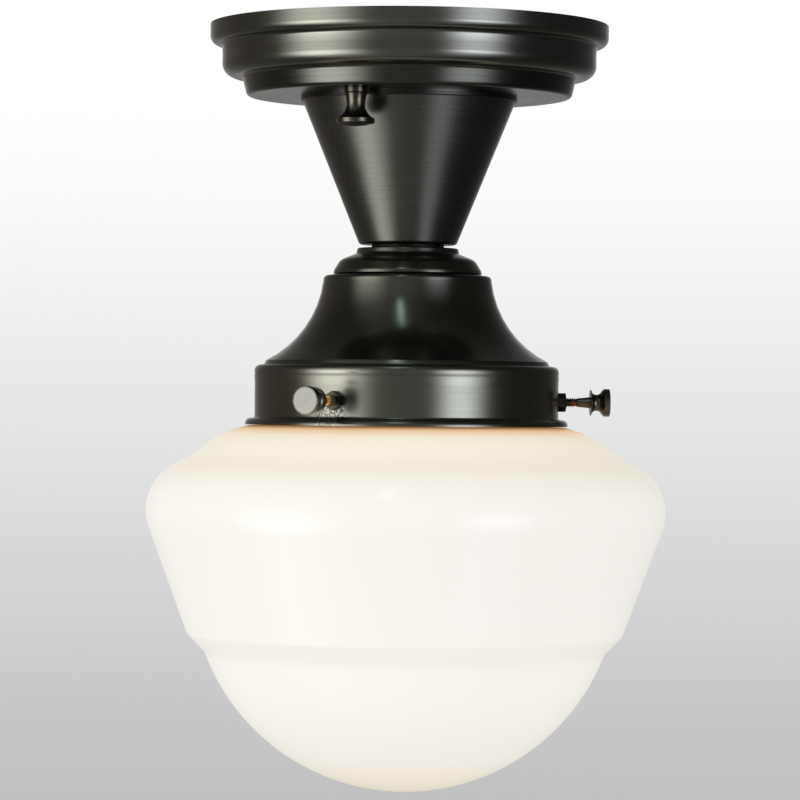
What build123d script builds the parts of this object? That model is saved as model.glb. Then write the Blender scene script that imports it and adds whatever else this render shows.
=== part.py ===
from build123d import *
import os
from math import acos, atan2, cos, degrees, hypot, radians, sin, tan

# Semi flush ceiling light: a stepped canopy, a cone, a bell-shaped glass holder and an opal globe.
# Millimetres, +Z up. The origin is on the light's axis, in the plane of the ceiling.

# ---------------------------------------------------------------- driving dimensions

# Canopy, a pan spun in three steps
canopy_sheet = 1.2
canopy_depth = 26.0
rim_radius = 72.6
rim_height = 7.1
rim_round = 3.4
step_ledge = 4.4
step_height = 12.0
step_round = 4.8
pan_ledge = 7.4
pan_taper = 1.6
pan_round = 1.8
crease_round = 0.5

# Cone
cone_sheet = 1.2
cone_height = 53.8
cone_lip_radius = 39.4
cone_lip_height = 1.8
cone_lip_ledge = 0.7
cone_lip_round = 0.4
cone_half_angle = 22.0
cone_foot_round = 1.5

# Spacer between the cone and the neck cap
spacer_radius = 9.0
spacer_thickness = 1.3

# Neck cap
cap_sheet = 1.1
cap_height = 10.0
cap_top_radius = 18.4
cap_top_round = 0.5
cap_band_radius = 18.8
cap_band_height = 2.0
cap_band_round = 0.9
cap_brow_radius = 24.6
cap_brow_drop = 4.3
cap_brow_round = 4.0
cap_foot_radius = 27.1
cap_foot_land = 0.9
cap_foot_round = 0.6

# Fitter: bell, collar and rolled rim
fitter_sheet = 1.2
fitter_height = 54.6
crown_radius = 30.65
crown_round = 0.8
flank_radius = 37.7
flank_height = 30.4
flank_foot_inset = 4.1
collar_bead_height = 1.4
collar_bead_width = 0.6
collar_bead_round = 0.3
collar_slope = 0.5
collar_round = 1.3
fitter_rim_reach = 3.3
fitter_rim_height = 2.3
fitter_rim_round = 1.9
fitter_rim_root_round = 0.5

# Glass globe: drops are measured down from its shoulder, and a ball-shaped bowl closes it under the crease
glass_wall = 3.0
lip_radius = 50.8
lip_overhang = 1.8
lip_height = 3.4
lip_round = 1.1
lip_to_collar = 3.5
neck_height = 11.6
neck_root_round = 3.5
rim_gap = 0.3
brow_start_radius = 58.0
brow_start_round = 10.0
brow_radius = 68.6
brow_drop = 3.5
brow_round = 30.0
dip_radius = 77.2
dip_drop = 10.4
dip_round = 24.0
belly_radius = 99.1
belly_drop = 22.1
belly_round = 18.6
hip_radius = 79.3
hip_drop = 76.0
hip_round = 3.0
crease_radius = 73.0
crease_drop = 82.3
bowl_depth = 50.7

# Thumb screws that hold the globe: the first stands further out of its nut than the other two
screw_turn = -4.0
screw_backed_off = (3.4, 0.0, 0.0)
screw_radius = 1.75
screw_under_lip = 0.65
screw_tip_gap = 0.3
screw_tip_round = 0.3
screw_fit = 0.06
screw_nut_flats = 5.9
screw_nut_thickness = 2.8
screw_reach = 9.0
screw_root_radius = 2.05
screw_root_length = 4.6
screw_disc_radius = 4.7
screw_disc_edge = 0.35
screw_disc_round = 0.1
screw_waist_radius = 3.1
screw_groove_width = 4.1
screw_head_radius = 5.05
screw_head_thickness = 2.6
screw_head_round = 0.35

# Stem nipple and what clamps on it
nipple_radius = 5.0
nipple_bore = 3.5
nipple_above_canopy = 8.8
nipple_hole_fit = 0.2
thread_fit = 0.05
washer_radius = 9.0
washer_thickness = 1.2
locknut_flats = 14.3
locknut_thickness = 3.0

# Crossbar, studs and canopy knobs
bar_end_margin = 7.7
bar_width = 22.0
bar_thickness = 2.0
bar_corner_round = 4.0
bar_centre_hole = 4.9
box_screw_spacing = 69.85
box_slot_width = 4.8
box_slot_land = 3.245
stud_spacing = 96.6
stud_radius = 2.08
stud_hole_fit = 0.5
stud_chamfer = 0.4
stud_nut_flats = 8.7
stud_nut_thickness = 3.2
knob_height = 13.8
knob_collar_radius = 4.2
knob_collar_height = 1.9
knob_collar_round = 0.3
knob_groove = 0.3
knob_groove_round = 0.1
knob_shoulder_radius = 4.05
knob_waist_radius = 3.3
knob_waist_drop = 6.0
knob_rim_radius = 6.75
knob_rim_drop = 11.1
knob_rim_round = 0.8
knob_dome = 0.9
knob_bore_depth = 9.0
knob_stud_end_gap = 1.0

# Ground screw in the crossbar
ground_screw_y = 14.0
ground_screw_radius = 1.9
ground_screw_round = 0.3
ground_head_radius = 3.9
ground_head_height = 2.2
ground_head_round = 1.2

# Lampholder
socket_hub_radius = 7.5
socket_hub_height = 5.0
socket_hub_round = 0.5
socket_hub_root_round = 1.0
socket_cap_radius = 17.6
socket_cap_sheet = 1.2
socket_cap_height = 13.5
socket_cap_round = 3.0
porcelain_radius = 19.0
porcelain_height = 38.0
porcelain_seat = 2.0
porcelain_web = 6.0
porcelain_round = 1.5
porcelain_top_round = 0.3
shell_radius = 14.1
shell_wall = 0.5
shell_length = 28.0
shell_hole = 6.0
shell_round = 0.8
contact_radius = 3.6
contact_thickness = 0.8
contact_bump_radius = 2.2
contact_bump_height = 2.4
contact_bump_taper = 15.0

# Lamp with a 26 mm screw base
lamp_contact_gap = 0.3
lamp_contact_radius = 4.4
lamp_contact_height = 1.0
lamp_contact_round = 0.6
lamp_insulator_radius = 9.0
lamp_insulator_height = 4.1
lamp_insulator_slope = 2.46
lamp_base_radius = 13.0
lamp_base_wall = 0.6
lamp_base_round = 1.8
lamp_base_length = 22.9
lamp_neck_radius = 13.6
lamp_neck_height = 3.0
lamp_neck_round = 0.8
lamp_neck_seat = 0.2
lamp_neck_depth = 6.0
lamp_throat_round = 6.0
lamp_base_cement = 0.3
lamp_ball_radius = 30.0
lamp_length = 108.5
lamp_glass_wall = 1.0

# Leads inside the fixture
lead_radius = 0.95
lead_bend = 5.0
lead_rise = 7.0
lead_run = 27.0
lead_circle = 1.9
lead_end_gap = 1.0
hot_lead_turn = -30.0
neutral_lead_turn = 210.0
eyelet_thickness = 0.8
eyelet_inset = 1.0
eyelet_margin = 1.0
eyelet_bite = 0.5
ground_lead_reach = 12.0
connector_radius = 5.0
connector_waist_radius = 4.5
connector_tip_radius = 3.2
connector_length = 16.0
connector_grip = 7.0
connector_bore_depth = 9.0
connector_fit = 0.1
connector_round = 0.5
connector_tip_round = 1.5

# ---------------------------------------------------------------- levels down the axis

canopy_floor = -canopy_depth
canopy_inner_floor = canopy_floor + canopy_sheet
cone_foot = canopy_floor - cone_height
cap_top = cone_foot - spacer_thickness
fitter_top = cap_top - cap_height
fitter_ceiling = fitter_top - fitter_sheet
fitter_foot = fitter_top - fitter_height
glass_shoulder = fitter_foot - rim_gap
glass_neck_top = glass_shoulder + neck_height
glass_top = glass_neck_top + lip_height
screw_level = glass_neck_top - screw_under_lip - screw_radius
bar_bottom = -bar_thickness
socket_top = fitter_ceiling - washer_thickness - locknut_thickness
nipple_top = canopy_inner_floor + nipple_above_canopy
nipple_foot = socket_top - socket_hub_height
porcelain_top = socket_top - socket_cap_height + porcelain_seat
porcelain_foot = porcelain_top - porcelain_height
lamp_top = porcelain_top - porcelain_web - contact_thickness - contact_bump_height - lamp_contact_gap

step_radius = rim_radius - step_ledge
pan_radius = step_radius - pan_ledge
collar_radius = lip_radius + lip_to_collar + fitter_sheet
neck_radius = lip_radius - lip_overhang
stem_hole = nipple_radius + nipple_hole_fit
screw_hole = screw_radius + screw_fit
screw_count = len(screw_backed_off)
screw_azimuths = [screw_turn + turn * 360 / screw_count for turn in range(screw_count)]
stud_thread_hole = stud_radius + thread_fit
box_slot_length = stud_spacing - box_screw_spacing - 2 * (stud_thread_hole + box_slot_land)

os.makedirs("parts", exist_ok=True)


def write_part(piece, node):
    """Label a finished sub-part and write it under its node's name."""
    piece.label = node
    export_step(piece, f"parts/{node}.step")


def section_plane(x=0.0, y=0.0):
    """Upright plane through (x, y): its first axis points to +X and its second axis up."""
    return Plane(origin=(x, y, 0), x_dir=(1, 0, 0), z_dir=(0, -1, 0))


def arc_radius(along, aside):
    """Radius of an arc that leaves a line tangent to it and strays aside over a run along it."""
    return (along**2 + aside**2) / (2 * aside)


def radial_direction(azimuth):
    """Level direction that points away from the axis, 0 degrees towards -Y and 90 towards +X."""
    return Vector(sin(radians(azimuth)), -cos(radians(azimuth)), 0)


# ---------------------------------------------------------------- crossbar and its fasteners

with BuildPart() as crossbar:
    with BuildSketch():
        RectangleRounded(bar_width, stud_spacing + 2 * bar_end_margin, bar_corner_round)
        Circle(bar_centre_hole, mode=Mode.SUBTRACT)
        with GridLocations(0, box_screw_spacing, 1, 2):
            SlotOverall(box_slot_length, box_slot_width, rotation=90, mode=Mode.SUBTRACT)
        with GridLocations(0, stud_spacing, 1, 2):
            Circle(stud_thread_hole, mode=Mode.SUBTRACT)
        with Locations((0, ground_screw_y)):
            Circle(ground_screw_radius + thread_fit, mode=Mode.SUBTRACT)
    extrude(amount=-bar_thickness)
write_part(crossbar.part, "crossbar")

stud_end = canopy_floor - knob_bore_depth + knob_stud_end_gap

with BuildPart() as canopy_studs:
    with GridLocations(0, stud_spacing, 1, 2):
        Cylinder(stud_radius, -stud_end, align=(Align.CENTER, Align.CENTER, Align.MAX))
    chamfer(canopy_studs.edges().group_by(Axis.Z)[0], length=stud_chamfer)
write_part(canopy_studs.part, "canopy_studs")

with BuildPart() as stud_lock_nuts:
    with BuildSketch(Plane.XY.offset(bar_bottom)):
        with GridLocations(0, stud_spacing, 1, 2):
            RegularPolygon(stud_nut_flats / 2, 6, major_radius=False)
            Circle(stud_thread_hole, mode=Mode.SUBTRACT)
    extrude(amount=-stud_nut_thickness)
write_part(stud_lock_nuts.part, "stud_lock_nuts")

with BuildPart() as ground_screw:
    with BuildSketch(section_plane(y=ground_screw_y)):
        head_top = bar_bottom - eyelet_thickness
        with BuildLine():
            FilletPolyline(
                (0, 0),
                (ground_screw_radius, 0),
                (ground_screw_radius, head_top),
                (ground_head_radius, head_top),
                (ground_head_radius, head_top - ground_head_height),
                (0, head_top - ground_head_height),
                radius=[ground_screw_round, 0, 0, ground_head_round],
            )
            Line((0, head_top - ground_head_height), (0, 0))
        make_face()
    revolve(axis=Axis((0, ground_screw_y, 0), (0, 0, 1)))
write_part(ground_screw.part, "ground_screw")

# ---------------------------------------------------------------- canopy and cone

with BuildPart() as canopy:
    with BuildSketch(section_plane()):
        with BuildLine():
            outline = FilletPolyline(
                (rim_radius, 0),
                (rim_radius, -rim_height),
                (step_radius, -rim_height),
                (step_radius, -rim_height - step_height),
                (pan_radius, -rim_height - step_height),
                (pan_radius - pan_taper, canopy_floor),
                (stem_hole, canopy_floor),
                radius=[rim_round, crease_round, step_round, crease_round, pan_round],
            )
            offset(outline, amount=canopy_sheet, side=Side.RIGHT)
        make_face()
    revolve(axis=Axis.Z)
    with Locations((0, 0, canopy_floor)):
        with GridLocations(0, stud_spacing, 1, 2):
            Hole(stud_radius + stud_hole_fit)
write_part(canopy.part, "canopy")

cone_rise = cone_height - cone_lip_height
cone_foot_radius = cone_lip_radius - cone_lip_ledge - cone_rise * tan(radians(cone_half_angle))

with BuildPart() as cone:
    with BuildSketch(section_plane()):
        lip_foot = canopy_floor - cone_lip_height
        with BuildLine():
            outline = FilletPolyline(
                (cone_lip_radius, canopy_floor),
                (cone_lip_radius, lip_foot),
                (cone_lip_radius - cone_lip_ledge, lip_foot),
                (cone_foot_radius, cone_foot),
                (stem_hole, cone_foot),
                radius=[cone_lip_round, 0, cone_foot_round],
            )
            offset(outline, amount=cone_sheet, side=Side.RIGHT)
        make_face()
    revolve(axis=Axis.Z)
write_part(cone.part, "cone")

# ---------------------------------------------------------------- stem and its clamp

with BuildPart() as stem_nipple:
    with BuildSketch(Plane.XY.offset(nipple_foot)):
        Circle(nipple_radius)
        Circle(nipple_bore, mode=Mode.SUBTRACT)
    extrude(amount=nipple_top - nipple_foot)
write_part(stem_nipple.part, "stem_nipple")

washer_levels = {
    "canopy_lock_washer": canopy_inner_floor + washer_thickness,
    "fitter_washer": fitter_ceiling,
}
for node, top in washer_levels.items():
    with BuildPart() as washer:
        with BuildSketch(Plane.XY.offset(top)):
            Circle(washer_radius)
            Circle(stem_hole, mode=Mode.SUBTRACT)
        extrude(amount=-washer_thickness)
    write_part(washer.part, node)

locknut_levels = {
    "canopy_locknut": canopy_inner_floor + washer_thickness + locknut_thickness,
    "fitter_locknut": fitter_ceiling - washer_thickness,
}
for node, top in locknut_levels.items():
    with BuildPart() as locknut:
        with BuildSketch(Plane.XY.offset(top)):
            RegularPolygon(locknut_flats / 2, 6, major_radius=False)
            Circle(nipple_radius + thread_fit, mode=Mode.SUBTRACT)
        extrude(amount=-locknut_thickness)
    write_part(locknut.part, node)

with BuildPart() as gap_spacer:
    with BuildSketch(Plane.XY.offset(cone_foot)):
        Circle(spacer_radius)
        Circle(stem_hole, mode=Mode.SUBTRACT)
    extrude(amount=-spacer_thickness)
write_part(gap_spacer.part, "gap_spacer")

# ---------------------------------------------------------------- glass holder

with BuildPart() as neck_cap:
    with BuildSketch(section_plane()):
        with BuildLine():
            outline = FilletPolyline(
                (stem_hole, cap_top),
                (cap_top_radius, cap_top),
                (cap_band_radius, cap_top - cap_band_height),
                (cap_brow_radius, cap_top - cap_brow_drop),
                (cap_foot_radius, fitter_top + cap_foot_land),
                (cap_foot_radius, fitter_top),
                radius=[cap_top_round, cap_band_round, cap_brow_round, cap_foot_round],
            )
            offset(outline, amount=cap_sheet, side=Side.RIGHT)
        make_face()
    revolve(axis=Axis.Z)
write_part(neck_cap.part, "neck_cap")

with BuildPart() as fitter:
    with BuildSketch(section_plane()):
        flank_top = fitter_top - crown_round
        flank_foot = flank_top - flank_height
        flank_foot_radius = collar_radius - flank_foot_inset
        bead_foot = flank_foot - collar_bead_height
        rim_top = fitter_foot + fitter_rim_height
        fitter_rim_radius = collar_radius + fitter_rim_reach
        with BuildLine() as fitter_line:
            crown = Line((stem_hole, fitter_top), (crown_radius - crown_round, fitter_top))
            JernArc(crown @ 1, (1, 0), crown_round, -90)
            RadiusArc((crown_radius, flank_top), (flank_foot_radius, flank_foot), -flank_radius)
            FilletPolyline(
                (flank_foot_radius, flank_foot),
                (flank_foot_radius + collar_bead_width, bead_foot),
                (collar_radius, bead_foot - collar_slope),
                (collar_radius, rim_top),
                (fitter_rim_radius, rim_top),
                (fitter_rim_radius, fitter_foot),
                radius=[collar_bead_round, collar_round, fitter_rim_root_round, fitter_rim_round],
            )
            offset(fitter_line.wires(), amount=fitter_sheet, side=Side.RIGHT)
        make_face()
    revolve(axis=Axis.Z)
    for azimuth in screw_azimuths:
        outward = radial_direction(azimuth)
        with BuildSketch(Plane(origin=(0, 0, screw_level), z_dir=outward)):
            Circle(screw_hole)
        extrude(amount=fitter_rim_radius, mode=Mode.SUBTRACT)
write_part(fitter.part, "fitter")

with BuildPart() as fitter_screw_nuts:
    for azimuth in screw_azimuths:
        outward = radial_direction(azimuth)
        nut_face = outward * collar_radius + Vector(0, 0, screw_level)
        with BuildSketch(Plane(origin=nut_face, x_dir=(0, 0, 1), z_dir=outward)):
            RegularPolygon(screw_nut_flats / 2, 6, major_radius=False)
            Circle(screw_hole, mode=Mode.SUBTRACT)
        extrude(amount=screw_nut_thickness)
write_part(fitter_screw_nuts.part, "fitter_screw_nuts")

# ---------------------------------------------------------------- thumb screws

for number, (azimuth, backed_off) in enumerate(zip(screw_azimuths, screw_backed_off), 1):
    outward = radial_direction(azimuth)
    level = Vector(0, 0, screw_level)
    tip = lip_radius + screw_tip_gap + backed_off
    disc_start = collar_radius + screw_nut_thickness + screw_reach + backed_off
    groove_start = disc_start + screw_disc_edge
    head_start = groove_start + screw_groove_width
    head_end = head_start + screw_head_thickness
    with BuildPart() as thumb_screw:
        with BuildSketch(Plane(origin=level, x_dir=outward, z_dir=outward.cross(Vector(0, 0, 1)))):
            with BuildLine():
                FilletPolyline(
                    (tip, 0),
                    (tip, screw_radius),
                    (disc_start - screw_root_length, screw_radius),
                    (disc_start, screw_root_radius),
                    (disc_start, screw_disc_radius),
                    (groove_start, screw_disc_radius),
                    radius=[screw_tip_round, 0, 0, screw_disc_round],
                )
                ThreePointArc(
                    (groove_start, screw_disc_radius),
                    (groove_start + screw_groove_width / 2, screw_waist_radius),
                    (head_start, screw_head_radius),
                )
                FilletPolyline(
                    (head_start, screw_head_radius),
                    (head_end, screw_head_radius),
                    (head_end, 0),
                    radius=[screw_head_round],
                )
                Line((head_end, 0), (tip, 0))
            make_face()
        revolve(axis=Axis(level, outward))
    write_part(thumb_screw.part, f"thumb_screw_{number}")

# ---------------------------------------------------------------- canopy knobs

knob_foot = canopy_floor - knob_height
knob_shoulder = canopy_floor - knob_collar_height - knob_groove
knob_waist = canopy_floor - knob_waist_drop
knob_rim = canopy_floor - knob_rim_drop
knob_dome_radius = knob_rim_radius - knob_rim_round

for node, stud_y in {"canopy_knob_front": -stud_spacing / 2, "canopy_knob_rear": stud_spacing / 2}.items():
    with BuildPart() as knob:
        with BuildSketch(section_plane(y=stud_y)):
            with BuildLine():
                collar = FilletPolyline(
                    (0, canopy_floor),
                    (knob_collar_radius, canopy_floor),
                    (knob_collar_radius, knob_shoulder + knob_groove),
                    (knob_shoulder_radius - knob_groove, knob_shoulder + knob_groove),
                    (knob_shoulder_radius, knob_shoulder),
                    radius=[knob_collar_round, knob_collar_round, knob_groove_round],
                )
                RadiusArc(
                    collar @ 1,
                    (knob_waist_radius, knob_waist),
                    -arc_radius(knob_shoulder - knob_waist, knob_shoulder_radius - knob_waist_radius),
                )
                RadiusArc(
                    (knob_waist_radius, knob_waist),
                    (knob_rim_radius, knob_rim),
                    -arc_radius(knob_waist - knob_rim, knob_rim_radius - knob_waist_radius),
                )
                edge_foot = knob_foot + knob_dome + knob_rim_round
                Line((knob_rim_radius, knob_rim), (knob_rim_radius, edge_foot))
                rim = JernArc((knob_rim_radius, edge_foot), (0, -1), knob_rim_round, -90)
                RadiusArc(rim @ 1, (0, knob_foot), arc_radius(knob_dome_radius, knob_dome))
                Line((0, knob_foot), (0, canopy_floor))
            make_face()
        revolve(axis=Axis((0, stud_y, 0), (0, 0, 1)))
        with Locations((0, stud_y, canopy_floor)):
            Cylinder(
                stud_thread_hole,
                knob_bore_depth,
                align=(Align.CENTER, Align.CENTER, Align.MAX),
                mode=Mode.SUBTRACT,
            )
    write_part(knob.part, node)

# ---------------------------------------------------------------- globe

with BuildPart() as globe:
    with BuildSketch(section_plane()):
        with BuildLine() as glass_line:
            FilletPolyline(
                (neck_radius, glass_top - lip_height / 2),
                (neck_radius, glass_shoulder),
                (brow_start_radius, glass_shoulder),
                (brow_radius, glass_shoulder - brow_drop),
                (dip_radius, glass_shoulder - dip_drop),
                (belly_radius, glass_shoulder - belly_drop),
                (hip_radius, glass_shoulder - hip_drop),
                (crease_radius, glass_shoulder - crease_drop),
                radius=[neck_root_round, brow_start_round, brow_round, dip_round, belly_round, hip_round],
            )
            RadiusArc(
                (crease_radius, glass_shoulder - crease_drop),
                (0, glass_shoulder - crease_drop - bowl_depth),
                arc_radius(crease_radius, bowl_depth),
            )
            offset(glass_line.wires(), amount=glass_wall, side=Side.RIGHT)
        make_face()
        with Locations((lip_radius, glass_top)):
            Rectangle(lip_overhang + glass_wall, lip_height, align=(Align.MAX, Align.MAX))
    revolve(axis=Axis.Z)
    lip_edges = globe.edges().filter_by(GeomType.CIRCLE).group_by(Axis.Z)[-1]
    fillet(lip_edges, radius=lip_round)
write_part(globe.part, "globe")

# ---------------------------------------------------------------- lampholder

with BuildPart() as socket_cap:
    with BuildSketch(section_plane()):
        hub_foot = socket_top - socket_hub_height
        cap_foot = socket_top - socket_cap_height
        with BuildLine():
            FilletPolyline(
                (nipple_radius + thread_fit, socket_top),
                (socket_hub_radius, socket_top),
                (socket_hub_radius, hub_foot + socket_cap_sheet),
                (socket_cap_radius, hub_foot + socket_cap_sheet),
                (socket_cap_radius, cap_foot),
                (socket_cap_radius - socket_cap_sheet, cap_foot),
                (socket_cap_radius - socket_cap_sheet, hub_foot),
                (nipple_radius + thread_fit, hub_foot),
                radius=[
                    socket_hub_round,
                    socket_hub_root_round,
                    socket_cap_round,
                    0,
                    0,
                    socket_cap_round - socket_cap_sheet,
                ],
            )
            Line((nipple_radius + thread_fit, hub_foot), (nipple_radius + thread_fit, socket_top))
        make_face()
    revolve(axis=Axis.Z)
write_part(socket_cap.part, "socket_cap")

with BuildPart() as socket_body:
    with BuildSketch(section_plane()):
        seat_radius = socket_cap_radius - socket_cap_sheet - thread_fit
        seat_foot = porcelain_top - porcelain_seat - thread_fit
        cavity_top = porcelain_top - porcelain_web
        with BuildLine():
            FilletPolyline(
                (0, porcelain_top),
                (seat_radius, porcelain_top),
                (seat_radius, seat_foot),
                (porcelain_radius, seat_foot),
                (porcelain_radius, porcelain_foot),
                (shell_radius + thread_fit, porcelain_foot),
                (shell_radius + thread_fit, cavity_top),
                (0, cavity_top),
                radius=[porcelain_top_round, 0, porcelain_round, porcelain_round, shell_round, 0],
            )
            Line((0, cavity_top), (0, porcelain_top))
        make_face()
    revolve(axis=Axis.Z)
write_part(socket_body.part, "socket_body")

with BuildPart() as socket_shell:
    with BuildSketch(section_plane()):
        with BuildLine():
            outline = FilletPolyline(
                (shell_hole, cavity_top),
                (shell_radius, cavity_top),
                (shell_radius, cavity_top - shell_length),
                radius=[shell_round],
            )
            offset(outline, amount=shell_wall, side=Side.RIGHT)
        make_face()
    revolve(axis=Axis.Z)
write_part(socket_shell.part, "socket_shell")

with BuildPart() as socket_contact:
    with BuildSketch(Plane.XY.offset(cavity_top)):
        Circle(contact_radius)
    extrude(amount=-contact_thickness)
    with BuildSketch(Plane.XY.offset(cavity_top - contact_thickness)):
        Circle(contact_bump_radius)
    extrude(amount=-contact_bump_height, taper=contact_bump_taper)
write_part(socket_contact.part, "socket_contact")

# ---------------------------------------------------------------- lamp

lamp_contact_foot = lamp_top - lamp_contact_height
lamp_insulator_foot = lamp_contact_foot - lamp_insulator_height
lamp_base_top = lamp_contact_foot - lamp_insulator_slope
lamp_base_foot = lamp_base_top - lamp_base_length
lamp_neck_foot = lamp_base_foot - lamp_neck_height
lamp_ball_centre = lamp_top - lamp_length + lamp_ball_radius

with BuildPart() as bulb_contact:
    with BuildSketch(Plane.XY.offset(lamp_contact_foot)):
        Circle(lamp_contact_radius)
    extrude(amount=lamp_contact_height)
    fillet(bulb_contact.edges().group_by(Axis.Z)[-1], radius=lamp_contact_round)
write_part(bulb_contact.part, "bulb_contact")

with BuildPart() as bulb_insulator:
    with BuildSketch(section_plane()):
        with BuildLine():
            Polyline(
                (0, lamp_contact_foot),
                (lamp_contact_radius, lamp_contact_foot),
                (lamp_insulator_radius, lamp_base_top),
                (lamp_insulator_radius, lamp_insulator_foot),
                (0, lamp_insulator_foot),
                close=True,
            )
        make_face()
    revolve(axis=Axis.Z)
write_part(bulb_insulator.part, "bulb_insulator")

with BuildPart() as bulb_base:
    with BuildSketch(section_plane()):
        with BuildLine():
            outline = FilletPolyline(
                (lamp_insulator_radius + thread_fit, lamp_base_top),
                (lamp_base_radius, lamp_base_top),
                (lamp_base_radius, lamp_base_foot),
                radius=[lamp_base_round],
            )
            offset(outline, amount=lamp_base_wall, side=Side.RIGHT)
        make_face()
    revolve(axis=Axis.Z)
write_part(bulb_base.part, "bulb_base")

with BuildPart() as bulb_envelope:
    neck_reach = hypot(lamp_neck_radius, lamp_neck_foot - lamp_ball_centre)
    neck_bearing = degrees(atan2(lamp_neck_foot - lamp_ball_centre, lamp_neck_radius))
    tangent_bearing = neck_bearing - degrees(acos(lamp_ball_radius / neck_reach))
    inner_neck = lamp_base_radius - lamp_base_wall - lamp_base_cement
    neck_seat = lamp_base_foot - lamp_neck_seat
    with BuildSketch(section_plane()):
        with BuildLine() as bulb_line:
            ball = CenterArc((0, lamp_ball_centre), lamp_ball_radius, -90, 90 + tangent_bearing)
            FilletPolyline(
                ball @ 1,
                (lamp_neck_radius, lamp_neck_foot),
                (lamp_neck_radius, neck_seat),
                (inner_neck, neck_seat),
                (inner_neck, lamp_base_foot + lamp_neck_depth),
                radius=[lamp_throat_round, lamp_neck_round, 0],
            )
            offset(bulb_line.wires(), amount=lamp_glass_wall, side=Side.LEFT)
        make_face()
    revolve(axis=Axis.Z)
write_part(bulb_envelope.part, "bulb_envelope")

# ---------------------------------------------------------------- leads held in the fixture

lead_top = nipple_top + lead_rise
connector_start = lead_run - connector_bore_depth + lead_end_gap
connector_bore = lead_radius + connector_fit

for node, turn in {"hot_lead": hot_lead_turn, "neutral_lead": neutral_lead_turn}.items():
    away = Vector(cos(radians(turn)), sin(radians(turn)), 0)
    foot = away * lead_circle + Vector(0, 0, porcelain_top)
    corner = away * lead_circle + Vector(0, 0, lead_top)
    end = away * lead_run + Vector(0, 0, lead_top)
    with BuildPart() as lead:
        with BuildLine() as route:
            FilletPolyline(foot, corner, end, radius=lead_bend)
        with BuildSketch(Plane(origin=foot, z_dir=(0, 0, 1))):
            Circle(lead_radius)
        sweep(path=route.line)
    write_part(lead.part, node)

with BuildPart() as wire_connectors:
    for turn in (hot_lead_turn, neutral_lead_turn):
        away = Vector(cos(radians(turn)), sin(radians(turn)), 0)
        mouth = away * connector_start + Vector(0, 0, lead_top)
        upright = Plane(origin=mouth, x_dir=away, z_dir=away.cross(Vector(0, 0, 1)))
        with BuildSketch(upright):
            with BuildLine():
                FilletPolyline(
                    (0, connector_bore),
                    (0, connector_radius),
                    (connector_grip, connector_waist_radius),
                    (connector_length, connector_tip_radius),
                    (connector_length, 0),
                    (connector_bore_depth, 0),
                    (connector_bore_depth, connector_bore),
                    (0, connector_bore),
                    radius=[connector_round, connector_round, connector_tip_round, 0, 0, 0, 0],
                )
            make_face()
        revolve(axis=Axis(mouth, away))
write_part(wire_connectors.part, "wire_connectors")

with BuildPart() as ground_lead:
    eyelet_reach = washer_radius - eyelet_inset
    screw_eyelet_radius = ground_head_radius + eyelet_margin
    lead_start = eyelet_reach - eyelet_bite
    low = canopy_inner_floor + washer_thickness + locknut_thickness + eyelet_thickness / 2
    high = bar_bottom - lead_radius
    turn_y = ground_screw_y + ground_lead_reach
    with BuildLine() as route:
        FilletPolyline(
            (0, lead_start, low),
            (0, turn_y, low),
            (0, turn_y, high),
            (0, ground_screw_y + screw_eyelet_radius - eyelet_bite, high),
            radius=lead_bend,
        )
    with BuildSketch(Plane(origin=(0, lead_start, low), z_dir=(0, 1, 0))):
        Circle(lead_radius)
    sweep(path=route.line)
    with BuildSketch(Plane.XY.offset(low - eyelet_thickness / 2)):
        Circle(eyelet_reach)
        Circle(stem_hole, mode=Mode.SUBTRACT)
    extrude(amount=eyelet_thickness)
    with BuildSketch(Plane.XY.offset(bar_bottom)):
        with Locations((0, ground_screw_y)):
            Circle(screw_eyelet_radius)
            Circle(ground_screw_radius + thread_fit, mode=Mode.SUBTRACT)
    extrude(amount=-eyelet_thickness)
write_part(ground_lead.part, "ground_lead")
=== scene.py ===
import bmesh
import bpy
import math
from mathutils import Matrix, Vector


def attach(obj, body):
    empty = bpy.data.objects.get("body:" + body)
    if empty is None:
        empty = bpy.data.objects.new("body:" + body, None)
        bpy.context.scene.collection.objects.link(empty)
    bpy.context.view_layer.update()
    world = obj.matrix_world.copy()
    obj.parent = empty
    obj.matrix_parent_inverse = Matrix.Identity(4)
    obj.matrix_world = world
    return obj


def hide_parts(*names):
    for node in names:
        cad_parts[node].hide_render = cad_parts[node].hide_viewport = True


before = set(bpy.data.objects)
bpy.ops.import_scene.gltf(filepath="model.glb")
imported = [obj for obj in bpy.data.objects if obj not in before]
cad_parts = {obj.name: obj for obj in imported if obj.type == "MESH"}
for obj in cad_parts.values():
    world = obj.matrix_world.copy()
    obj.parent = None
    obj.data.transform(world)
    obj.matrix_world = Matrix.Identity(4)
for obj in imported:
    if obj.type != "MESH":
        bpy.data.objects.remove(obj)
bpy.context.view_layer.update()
print("frame loaded")

mm = 0.001


class Wire:  # an output socket that takes part in sums
    def __init__(self, tree, socket):
        self.tree, self.socket = tree, socket

    def reckon(self, operation, *terms, clamp=False):
        maths = self.tree.nodes.new("ShaderNodeMath")
        maths.operation, maths.use_clamp = operation, clamp
        for spot, term in zip(maths.inputs, terms):
            plug(self.tree, spot, term)
        return Wire(self.tree, maths.outputs[0])

    def __add__(self, other):
        return self.reckon("ADD", self, other)

    def __sub__(self, other):
        return self.reckon("SUBTRACT", self, other)

    def __rsub__(self, other):
        return self.reckon("SUBTRACT", other, self)

    def __mul__(self, other):
        return self.reckon("MULTIPLY", self, other)

    def __truediv__(self, other):
        return self.reckon("DIVIDE", self, other)

    def __pow__(self, other):
        return self.reckon("POWER", self, other)

    __radd__ = __add__
    __rmul__ = __mul__

    def clipped(self):
        return self.reckon("ADD", self, 0.0, clamp=True)


def plug(tree, spot, value):
    if isinstance(value, Wire):
        tree.links.new(value.socket, spot)
    else:
        spot.default_value = value


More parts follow.
